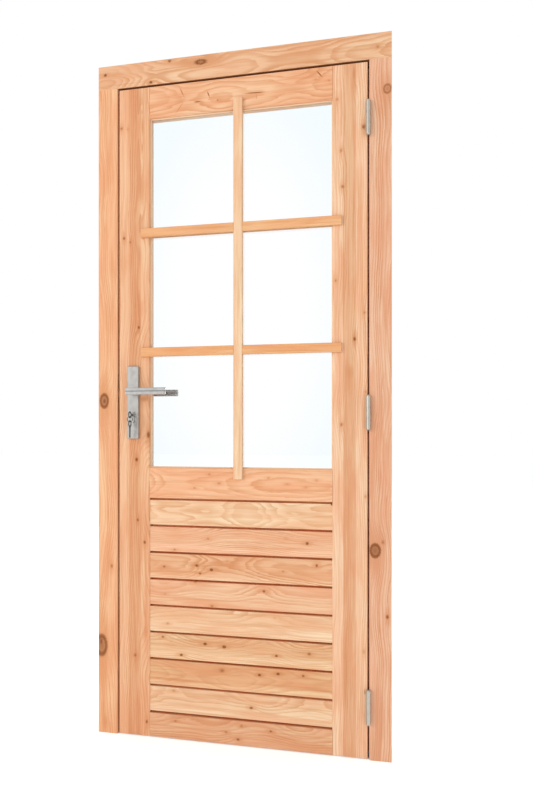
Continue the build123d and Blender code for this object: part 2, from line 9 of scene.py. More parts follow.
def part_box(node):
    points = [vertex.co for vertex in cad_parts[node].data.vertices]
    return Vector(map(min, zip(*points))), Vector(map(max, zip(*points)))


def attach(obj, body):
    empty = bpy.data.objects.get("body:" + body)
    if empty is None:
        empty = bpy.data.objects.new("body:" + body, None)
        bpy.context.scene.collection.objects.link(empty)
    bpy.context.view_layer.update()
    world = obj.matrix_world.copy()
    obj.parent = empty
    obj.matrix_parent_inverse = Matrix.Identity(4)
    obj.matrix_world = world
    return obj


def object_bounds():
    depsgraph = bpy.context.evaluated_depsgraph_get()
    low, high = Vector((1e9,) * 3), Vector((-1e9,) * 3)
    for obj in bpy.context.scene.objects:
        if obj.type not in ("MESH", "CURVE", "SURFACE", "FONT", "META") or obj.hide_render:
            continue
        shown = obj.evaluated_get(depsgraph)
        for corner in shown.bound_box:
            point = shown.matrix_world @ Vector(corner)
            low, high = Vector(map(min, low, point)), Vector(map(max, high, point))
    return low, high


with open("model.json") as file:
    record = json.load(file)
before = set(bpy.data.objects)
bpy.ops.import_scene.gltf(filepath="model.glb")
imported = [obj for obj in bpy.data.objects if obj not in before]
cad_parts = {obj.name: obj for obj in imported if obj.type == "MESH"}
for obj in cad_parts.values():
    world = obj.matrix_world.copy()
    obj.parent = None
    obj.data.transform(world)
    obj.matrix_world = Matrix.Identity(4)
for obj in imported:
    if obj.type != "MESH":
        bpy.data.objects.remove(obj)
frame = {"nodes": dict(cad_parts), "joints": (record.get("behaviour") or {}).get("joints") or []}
cad_low, cad_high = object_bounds()
nodes = frame["nodes"]
joints = {joint["name"]: joint for joint in frame["joints"]}

# Lengths are in metres, and the door's outside faces -Y
MM = 0.001

# The photograph's frame in pixels, and the camera that sees the door as it does
image_width = 533
image_height = 800
focal_pixels = 613.5
horizon_row = 428.7
camera_turn = math.radians(11.45)
eye = Vector((-0.003, -1.845, 0.960))
sensor_mm = 36

# Where the leaf and its lever lie
leaf_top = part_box("lock_stile")[1].z
leaf_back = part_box("lock_stile")[1].y
leaf_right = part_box("hinge_stile")[1].x
leaf_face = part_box("hinge_stile")[0].y
side_gap = 5 * MM
lock_x = joints["lever_turn"]["pos_m"][0]
lever_height = joints["lever_turn"]["pos_m"][2]


# Places and colours of the photograph

def on_face(column, row, face_y):
    """The point (x, z) of a plane y = face_y that shows at a pixel of the photograph."""
    right = (column - image_width / 2) / focal_pixels
    up = (horizon_row - row) / focal_pixels
    ahead = Vector((-math.sin(camera_turn), math.cos(camera_turn), 0))
    side = Vector((math.cos(camera_turn), math.sin(camera_turn), 0))
    ray = ahead + right * side + up * Vector((0, 0, 1))
    point = eye + ray * ((face_y - eye.y) / ray.y)
    return point.x, point.z


def linear(red, green, blue):
    """A colour given as 0 to 255 screen values, in the renderer's linear values."""
    values = [value / 255 for value in (red, green, blue)]
    turned = [v / 12.92 if v <= 0.04045 else ((v + 0.055) / 1.055) ** 2.4 for v in values]
    return (*turned, 1)


def tinted(colour, tint):
    return tuple(value * share for value, share in zip(colour, tint)) + (1,)


# Node trees written as short calls

class Sheet:
    """A node tree. Each value is a number, a colour or another node's output."""

    def __init__(self, tree):
        self.tree = tree

    def put(self, socket, value):
        if isinstance(value, bpy.types.NodeSocket):
            self.tree.links.new(value, socket)
        elif value is not None:
            socket.default_value = value

    def fill(self, made, values):
        """Gives values to a node's inputs by their labels."""
        for label, value in values.items():
            self.put(made.inputs[label], value)

    def node(self, kind, *values, **settings):
        made = self.tree.nodes.new(kind)
        for name, setting in settings.items():
            setattr(made, name, setting)
        for socket, value in zip(made.inputs, values):
            self.put(socket, value)
        return made

    def place(self):
        """The point of the surface, where it lies at rest."""
        return self.node("ShaderNodeTexCoord").outputs["Object"]

    def math(self, operation, *values):
        return self.node("ShaderNodeMath", *values, operation=operation).outputs[0]

    def vector(self, operation, *values):
        return self.node("ShaderNodeVectorMath", *values, operation=operation).outputs[0]

    def scaled(self, position, scale):
        return self.vector("MULTIPLY", position, scale)

    def length(self, value):
        return self.node("ShaderNodeVectorMath", value, operation="LENGTH").outputs["Value"]

    def noise(self, position, scale=1, detail=2, roughness=0.5, dimensions="3D"):
        made = self.node("ShaderNodeTexNoise", noise_dimensions=dimensions)
        self.put(made.inputs["W" if dimensions == "1D" else "Vector"], position)
        made.inputs["Scale"].default_value = scale
        made.inputs["Detail"].default_value = detail
        made.inputs["Roughness"].default_value = roughness
        return made.outputs["Fac"]

    def spread(self, value, low, high, to_low=0, to_high=1, smooth=True):
        """A value mapped from one span to another, and held inside it."""
        kind = "SMOOTHSTEP" if smooth else "LINEAR"
        made = self.node("ShaderNodeMapRange", interpolation_type=kind)
        for socket, given in zip(made.inputs, (value, low, high, to_low, to_high)):
            self.put(socket, given)
        return made.outputs[0]

    def either_way(self, noise, reach):
        """A noise of 0 to 1 as a value of -reach to reach."""
        return self.spread(noise, 0, 1, -reach, reach, smooth=False)

    def ramp(self, factor, stops, interpolation="LINEAR"):
        made = self.node("ShaderNodeValToRGB", factor)
        ramp = made.color_ramp
        ramp.interpolation = interpolation
        while len(ramp.elements) < len(stops):
            ramp.elements.new(0.5)
        for element, (place, colour) in zip(ramp.elements, stops):
            element.position = place
            element.color = colour if isinstance(colour, tuple) else (colour, colour, colour, 1)
        return made.outputs[0]

    def mix(self, factor, first, second, blend="MIX"):
        made = self.node("ShaderNodeMix", data_type="RGBA", blend_type=blend)
        for index, value in ((0, factor), (6, first), (7, second)):
            self.put(made.inputs[index], value)
        return made.outputs[2]

    def parts(self, vector):
        return self.node("ShaderNodeSeparateXYZ", vector).outputs

    def join(self, x, y, z):
        return self.node("ShaderNodeCombineXYZ", x, y, z).outputs[0]

    def bump(self, shader, height, strength, distance):
        made = self.node("ShaderNodeBump")
        made.inputs["Strength"].default_value = strength
        made.inputs["Distance"].default_value = distance
        self.put(made.inputs["Height"], height)
        self.put(shader.inputs["Normal"], made.outputs[0])


def new_group(name, inputs, outputs):
    """A node group and its sheet. Inputs and outputs are (name, kind) pairs."""
    group = bpy.data.node_groups.new(name, "ShaderNodeTree")
    for label, kind in inputs:
        group.interface.new_socket(label, in_out="INPUT", socket_type="NodeSocket" + kind)
    for label, kind in outputs:
        group.interface.new_socket(label, in_out="OUTPUT", socket_type="NodeSocket" + kind)
    sheet = Sheet(group)
    given = sheet.node("NodeGroupInput").outputs
    made = sheet.node("NodeGroupOutput").inputs
    return group, sheet, given, made


def new_material(name):
    material = bpy.data.materials.new(name)
    material.use_nodes = True
    sheet = Sheet(material.node_tree)
    shader = material.node_tree.nodes["Principled BSDF"]
    return material, sheet, shader


# Knots

# The core and the halo as shares of a knot's shade, and the spans in which they fade, in half sizes
knot_core = 0.6
core_fades = (0.15, 1.5)
knot_halo = 0.4
halo_fades = (0.3, 1.3)
ragged_edge = 0.45
ragged_waves = (300, 300, 0)

# How the halo and the swelling of the rings are drawn out, along and across the grain
knot_halo_reach = (0.22, 0.5, 0)
ring_push_reach = (0.2, 0.42, 0)

# The half size at which a knot of full shade pushes its rings on by one
knot_push = 7 * MM

# A knot with half sizes above this many pixels has a ringed middle, unless it is fainter than this
large_knot = 3
faint_shade = 0.5
large_knot_heart = 0.3
knot_rim = 0.9
rim_fades = (0.05, 0.4)
heart_starts = 0.3
heart_paleness = 0.55


def make_knot_group():
    """One knot or crack. Stain rises from 0 round it to Shade, and Lift pushes the rings round it.

    Heart is how much paler the middle of a large knot is, which also darkens and smooths its rim.
    """
    inputs = [
        ("Position", "Vector"), ("Centre", "Vector"), ("Size", "Vector"), ("Shade", "Float"),
        ("Push", "Float"), ("Ragged", "Float"), ("Turn", "Float"), ("Halo", "Float"),
        ("Heart", "Float"), ("Stain", "Float"), ("Lift", "Float"),
    ]
    group, sheet, given, made = new_group("knot", inputs, [("Stain", "Float"), ("Lift", "Float")])
    away = sheet.vector("SUBTRACT", given["Position"], given["Centre"])
    turned = sheet.node("ShaderNodeVectorRotate", rotation_type="Z_AXIS")
    sheet.fill(turned, {"Vector": away, "Angle": given["Turn"]})
    offset = sheet.vector("MULTIPLY", turned.outputs[0], given["Size"])

    # The knot itself, and a halo drawn out along the grain
    smooth = sheet.math("MULTIPLY_ADD", given["Heart"], -2, 1)
    ragged = sheet.math("MULTIPLY_ADD", given["Ragged"], smooth, sheet.length(offset))
    core = sheet.spread(ragged, *core_fades, knot_core, 0)
    drawn_out = sheet.length(sheet.vector("MULTIPLY", offset, knot_halo_reach))
    halo = sheet.spread(sheet.math("ADD", drawn_out, given["Ragged"]), *halo_fades, given["Halo"], 0)

    # A large knot's darker rim and paler middle
    off_rim = sheet.math("ABSOLUTE", sheet.math("SUBTRACT", ragged, knot_rim))
    rim = sheet.spread(off_rim, *rim_fades, 1, 0)
    middle = sheet.spread(ragged, heart_starts, knot_rim, heart_paleness, 0)
    ringed = sheet.math("SUBTRACT", rim, middle)
    depth = sheet.math("MULTIPLY_ADD", ringed, given["Heart"], sheet.math("ADD", core, halo))
    shade = sheet.math("MULTIPLY", depth, given["Shade"])

    # The rings swell round it
    wide = sheet.length(sheet.vector("MULTIPLY", offset, ring_push_reach))
    fall = sheet.math("EXPONENT", sheet.math("MULTIPLY", sheet.math("POWER", wide, 2), -1))
    sheet.put(made["Stain"], sheet.math("MAXIMUM", shade, given["Stain"]))
    sheet.put(made["Lift"], sheet.math("MULTIPLY_ADD", fall, given["Push"], given["Lift"]))
    return group


# Larch

# Each pattern's waves in a metre: along the grain, across it and into the wood
ripple_waves = (11, 90, 90)
fade_waves = (4, 26, 26)
fibre_waves = (7, 420, 420)
streak_waves = (4, 110, 110)
pinkish_waves = (5, 30, 30)
strawish_waves = (3.4, 24, 40)
resin_waves = (13, 700, 700)

# How far the trunk's middle wanders sideways and into the wood, with its waves in a metre
pith_wander = 20 * MM
wander_waves = 2.3
pith_drift = 30 * MM
drift_waves = 3.1

# How far a ring ripples, how unevenly wide the rings are, and how both that and their darkness vary by ring
ring_ripple = 2.6 * MM
ring_unevenness = 1.6
uneven_waves = 0.45
share_waves = 0.31

# The late wood's share through one ring, from its soft inner side to its sharp outer edge
late_profile = [(0.0, 0.0), (0.4, 0.15), (0.75, 0.8), (0.9, 1.0), (1.0, 0.0)]

# Each pattern as the span of its noise over which it grows, and then its weakest and strongest
late_share = (0.3, 0.7, 0.4, 1.0)
fading = (0.35, 0.65, 0.5, 1.0)
pinkish_patch = (0.42, 0.62, 0, 0.9)
strawish_patch = (0.48, 0.66, 0, 0.9)
dark_streak = (0.47, 0.72, 0, 0.6)
fibre_shade = (0.25, 0.75, 0.92, 1.07)
resin_line = (0.72, 0.82, 0, 0.35)

# As a knot's stain grows, the wood darkens and gives way to the knot, which is warmer where it is deepest
stained_wood = (0, 0.45, 0, 0.9)
knot_itself = (0.38, 0.8)
stained_knot = (0.85, 1.0, 0, 0.4)

# The surface, and how much each pattern stands out of it
pale_roughness = 0.62
dark_roughness = 0.5
fibre_height = 0.5
grain_height = 0.6
knot_height = 0.8


def make_larch_group():
    """Larch cut from a log. Position is (along the grain, across, into the wood)."""
    inputs = [
        ("Position", "Vector"), ("Pith", "Vector"), ("Slope", "Float"), ("Ring", "Float"),
        ("Seed", "Float"), ("Stain", "Float"), ("Lift", "Float"), ("Grain", "Float"),
        ("Light", "Color"), ("Dark", "Color"), ("Pink", "Color"), ("Straw", "Color"), ("Knot", "Color"),
    ]
    outputs = [("Colour", "Color"), ("Roughness", "Float"), ("Height", "Float")]
    group, sheet, given, made = new_group("larch", inputs, outputs)
    along, across, deep = sheet.parts(given["Position"])
    pith = sheet.parts(given["Pith"])
    shifted = sheet.vector("ADD", given["Position"], sheet.join(given["Seed"], given["Seed"], given["Seed"]))

    # The distance from the trunk's middle, which wanders slowly, with a finer ripple of each ring
    wander = sheet.noise(sheet.math("ADD", along, given["Seed"]), wander_waves, detail=1, dimensions="1D")
    drift = sheet.noise(sheet.math("SUBTRACT", along, given["Seed"]), drift_waves, detail=1, dimensions="1D")
    side = sheet.math("SUBTRACT", across, pith[1])
    side = sheet.math("ADD", side, sheet.either_way(wander, pith_wander))
    depth = sheet.math("ADD", deep, pith[2])
    depth = sheet.math("ADD", depth, sheet.either_way(drift, pith_drift))
    depth = sheet.math("MULTIPLY_ADD", along, given["Slope"], depth)
    radius = sheet.length(sheet.join(side, depth, 0))
    ripple = sheet.noise(sheet.scaled(shifted, ripple_waves), detail=3, roughness=0.6)
    radius = sheet.math("ADD", radius, sheet.either_way(ripple, ring_ripple))

    # The count of rings, unevenly wide, and how much late wood shows
    turns = sheet.math("ADD", sheet.math("DIVIDE", radius, given["Ring"]), given["Lift"])
    uneven = sheet.noise(turns, uneven_waves, detail=2, dimensions="1D")
    turns = sheet.math("MULTIPLY_ADD", uneven, ring_unevenness, turns)
    late = sheet.ramp(sheet.math("FRACT", turns), late_profile)
    share = sheet.spread(sheet.noise(turns, share_waves, detail=1, dimensions="1D"), *late_share)
    faded = sheet.spread(sheet.noise(sheet.scaled(shifted, fade_waves), detail=2), *fading)
    faded_grain = sheet.math("MULTIPLY", faded, given["Grain"])
    strength = sheet.math("MULTIPLY", sheet.math("MULTIPLY", late, share), faded_grain)

    # Fibres, long patches of pinkish and straw-coloured wood, and short resin lines
    fibre = sheet.noise(sheet.scaled(shifted, fibre_waves), detail=4, roughness=0.65)
    streak = sheet.noise(sheet.scaled(shifted, streak_waves), detail=3, roughness=0.6)
    pinkish = sheet.noise(sheet.scaled(shifted, pinkish_waves), detail=3)
    strawish = sheet.noise(sheet.scaled(shifted, strawish_waves), detail=3)
    resin = sheet.noise(sheet.scaled(shifted, resin_waves), detail=1)
    colour = sheet.mix(sheet.spread(pinkish, *pinkish_patch), given["Light"], given["Pink"])
    colour = sheet.mix(sheet.spread(strawish, *strawish_patch), colour, given["Straw"])
    colour = sheet.mix(strength, colour, given["Dark"])
    colour = sheet.mix(sheet.spread(streak, *dark_streak), colour, given["Dark"])
    fibre_tone = sheet.spread(fibre, *fibre_shade, smooth=False)
    colour = sheet.mix(1, colour, sheet.join(fibre_tone, fibre_tone, fibre_tone), "MULTIPLY")
    colour = sheet.mix(sheet.spread(resin, *resin_line), colour, given["Knot"])

    # Knots: a stained halo, then the knot itself
    stain = given["Stain"]
    colour = sheet.mix(sheet.spread(stain, *stained_wood), colour, given["Dark"])
    inside = sheet.mix(sheet.spread(stain, *stained_knot), given["Knot"], given["Dark"])
    colour = sheet.mix(sheet.spread(stain, *knot_itself), colour, inside)

    sheet.put(made["Colour"], colour)
    roughness = sheet.spread(strength, 0, 1, pale_roughness, dark_roughness, smooth=False)
    sheet.put(made["Roughness"], roughness)
    height = sheet.math("MULTIPLY_ADD", fibre, fibre_height, sheet.math("MULTIPLY", strength, grain_height))
    sheet.put(made["Height"], sheet.math("MULTIPLY_ADD", stain, knot_height, height))
    return group


knot_group = make_knot_group()
larch_group = make_larch_group()


class Plank:
    """How one piece of wood is cut.

    pith is how far the trunk's middle lies across the face and behind it, and ring is the rings' width,
    all in millimetres. slope is how much the trunk leans into the wood, and grain is how dark its lines are.
    """

    def __init__(self, tone, upright=False, pith=(0, 60), slope=0.02, ring=5, grain=1,
                 knots=(), strips=(), cracks=()):
        self.tone = tone
        self.upright = upright
        self.pith = pith
        self.slope = slope
        self.ring = ring
        self.grain = grain
        self.knots = knots
        self.strips = strips
        self.cracks = cracks


# Each piece's second colours as shares of its own tone, and the share of all that suits this light
late_tint = (0.80, 0.60, 0.44)
pink_tint = (0.96, 0.82, 0.75)
straw_tint = (1.03, 1.17, 1.22)
wood_in_this_light = (0.83, 0.89, 0.92)
knot_colour = linear(128, 72, 30)
wood_specular = 0.3
wood_bump = 0.35
wood_bump_height = 0.4 * MM
seed_count = 97
seed_step = 1.37

# Painted shade in the boards' joints, which comes and goes by its depth behind the face. The last value is
# how fully the painted shade covers, here and in the head's rebate
joint_shade = (0.95, 0.58, 0.35, 1)
joint_shade_starts = (2.5 * MM, 5 * MM)
joint_shade_ends = (14 * MM, 18 * MM)
painted_shade_cover = 0.9

# Painted shade in the head's rebate, which fades above the leaf, behind it, and by the head's face and ends
rebate_shade = (0.3, 0.16, 0.08, 1)
shade_above_leaf = (7 * MM, 9 * MM)
shade_behind_face = (0.5 * MM, 2 * MM)
shade_behind_leaf = (2 * MM, 6 * MM)
shade_from_end = (30 * MM, 31 * MM)


def board_position(sheet, upright, origin):
    """The surface point as (along the grain, across, into the wood) from the piece's front middle."""
    x, y, z = sheet.parts(sheet.vector("SUBTRACT", sheet.place(), tuple(origin)))
    return sheet.join(z, x, y) if upright else sheet.join(x, z, y)


def add_marks(sheet, plank, position, low, origin):
    """The stain of all the plank's knots and cracks, and how far they lift its rings."""
    ragged = sheet.either_way(sheet.noise(sheet.scaled(position, ragged_waves), detail=2), ragged_edge)
    marks = [(*knot, 0, False) for knot in plank.knots] + [(*crack, True) for crack in plank.cracks]
    stain = 0.0
    lift = 0.0
    for column, row, half_width, half_height, shade, turn, is_crack in marks:
        x, z = on_face(column, row, low.y)
        width = on_face(column + half_width, row, low.y)[0] - x
        height = on_face(column, row - half_height, low.y)[1] - z
        centre = (x - origin.x, z - origin.z, 0)
        size = (1 / width, 1 / height, 0)
        if plank.upright:
            centre = (centre[1], centre[0], 0)
            size = (size[1], size[0], 0)
        is_large = min(half_width, half_height) > large_knot and shade > faint_shade
        knot = sheet.node("ShaderNodeGroup", node_tree=knot_group)
        sheet.fill(knot, {
            "Position": position,
            "Centre": centre,
            "Size": size,
            "Turn": math.radians(turn),
            "Shade": shade / knot_core if is_crack else shade,
            "Push": 0 if is_crack else shade * max(width, height) / knot_push,
            "Halo": 0 if is_crack else knot_halo,
            "Heart": large_knot_heart if is_large else 0,
            "Ragged": ragged,
            "Stain": stain,
            "Lift": lift,
        })
        stain, lift = knot.outputs["Stain"], knot.outputs["Lift"]
    return stain, lift


def seed_of(name):
    """A number from the piece's name, which shifts its grain."""
    total = sum(ord(letter) * (index + 1) for index, letter in enumerate(name))
    return (total % seed_count + 1) * seed_step


def larch_material(name, plank):
    low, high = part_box(name)
    origin = Vector(((low.x + high.x) / 2, low.y, (low.z + high.z) / 2))
    material, sheet, shader = new_material("larch_" + name)
    position = board_position(sheet, plank.upright, origin)
    stain, lift = add_marks(sheet, plank, position, low, origin)
    light = tinted(linear(*plank.tone), wood_in_this_light)
    wood = sheet.node("ShaderNodeGroup", node_tree=larch_group)
    sheet.fill(wood, {
        "Position": position,
        "Pith": (0, plank.pith[0] * MM, plank.pith[1] * MM),
        "Slope": plank.slope,
        "Ring": plank.ring * MM,
        "Seed": seed_of(name),
        "Stain": stain,
        "Lift": lift,
        "Grain": plank.grain,
        "Light": light,
        "Dark": tinted(light, late_tint),
        "Pink": tinted(light, pink_tint),
        "Straw": tinted(light, straw_tint),
        "Knot": knot_colour,
    })
    colour = wood.outputs["Colour"]
    # Painted shade in the boards' joints, and below it in the head's rebate
    if name.startswith("board_") or name == "bottom_rail":
        colour = with_joint_shade(sheet, colour, position)
    if name == "head":
        colour = with_rebate_shade(sheet, colour, low, high)
    if plank.strips:
        colour = in_strips(sheet, colour, plank, low, high)
    sheet.put(shader.inputs["Base Color"], colour)
    sheet.put(shader.inputs["Roughness"], wood.outputs["Roughness"])
    shader.inputs["Specular IOR Level"].default_value = wood_specular
    sheet.bump(shader, wood.outputs["Height"], wood_bump, wood_bump_height)
    return material


def with_joint_shade(sheet, colour, position):
    """A board's bevel and ledge, darkened with painted shade in the joint behind its face."""
    _, _, deep = sheet.parts(position)
    starts = sheet.spread(deep, *joint_shade_starts, 0, painted_shade_cover)
    ends = sheet.spread(deep, *joint_shade_ends, 1, 0)
    shaded_colour = sheet.mix(1, colour, joint_shade, "MULTIPLY")
    return sheet.mix(sheet.math("MULTIPLY", starts, ends), colour, shaded_colour)


def with_rebate_shade(sheet, colour, low, high):
    """The rebate over the leaf, darkened with painted shade behind the head's front face."""
    x, y, z = sheet.parts(sheet.place())
    below = sheet.spread(z, *(leaf_top + rise for rise in shade_above_leaf), 1, 0)
    behind = sheet.spread(y, *(low.y + depth for depth in shade_behind_face))
    before = sheet.spread(y, *(leaf_back + depth for depth in shade_behind_leaf), 1, 0)
    from_left = sheet.spread(x, *(low.x + inset for inset in shade_from_end))
    from_right = sheet.spread(x, *(high.x - inset for inset in reversed(shade_from_end)), 1, 0)
    inward = sheet.math("MULTIPLY", from_left, from_right)
    where = sheet.math("MULTIPLY", below, behind)
    where = sheet.math("MULTIPLY", where, sheet.math("MULTIPLY", before, inward))
    shaded_colour = sheet.mix(1, colour, rebate_shade, "MULTIPLY")
    return sheet.mix(sheet.math("MULTIPLY", where, painted_shade_cover), colour, shaded_colour)


def in_strips(sheet, colour, plank, low, high):
    """Tones across a piece, as (share of its width, tone) from the low side.

    An upright piece is glued up from strips, so its tones meet sharply. A board's run into each other.
    """
    x, _, z = sheet.parts(sheet.place())
    across, start, end = (x, low.x, high.x) if plank.upright else (z, low.z, high.z)
    share = sheet.spread(across, start, end, smooth=False)
    stops = [(place, (value, value ** 2, value ** 3, 1)) for place, value in plank.strips]
    tone = sheet.ramp(share, stops, "CONSTANT" if plank.upright else "EASE")
    return sheet.mix(1, colour, tone, "MULTIPLY")


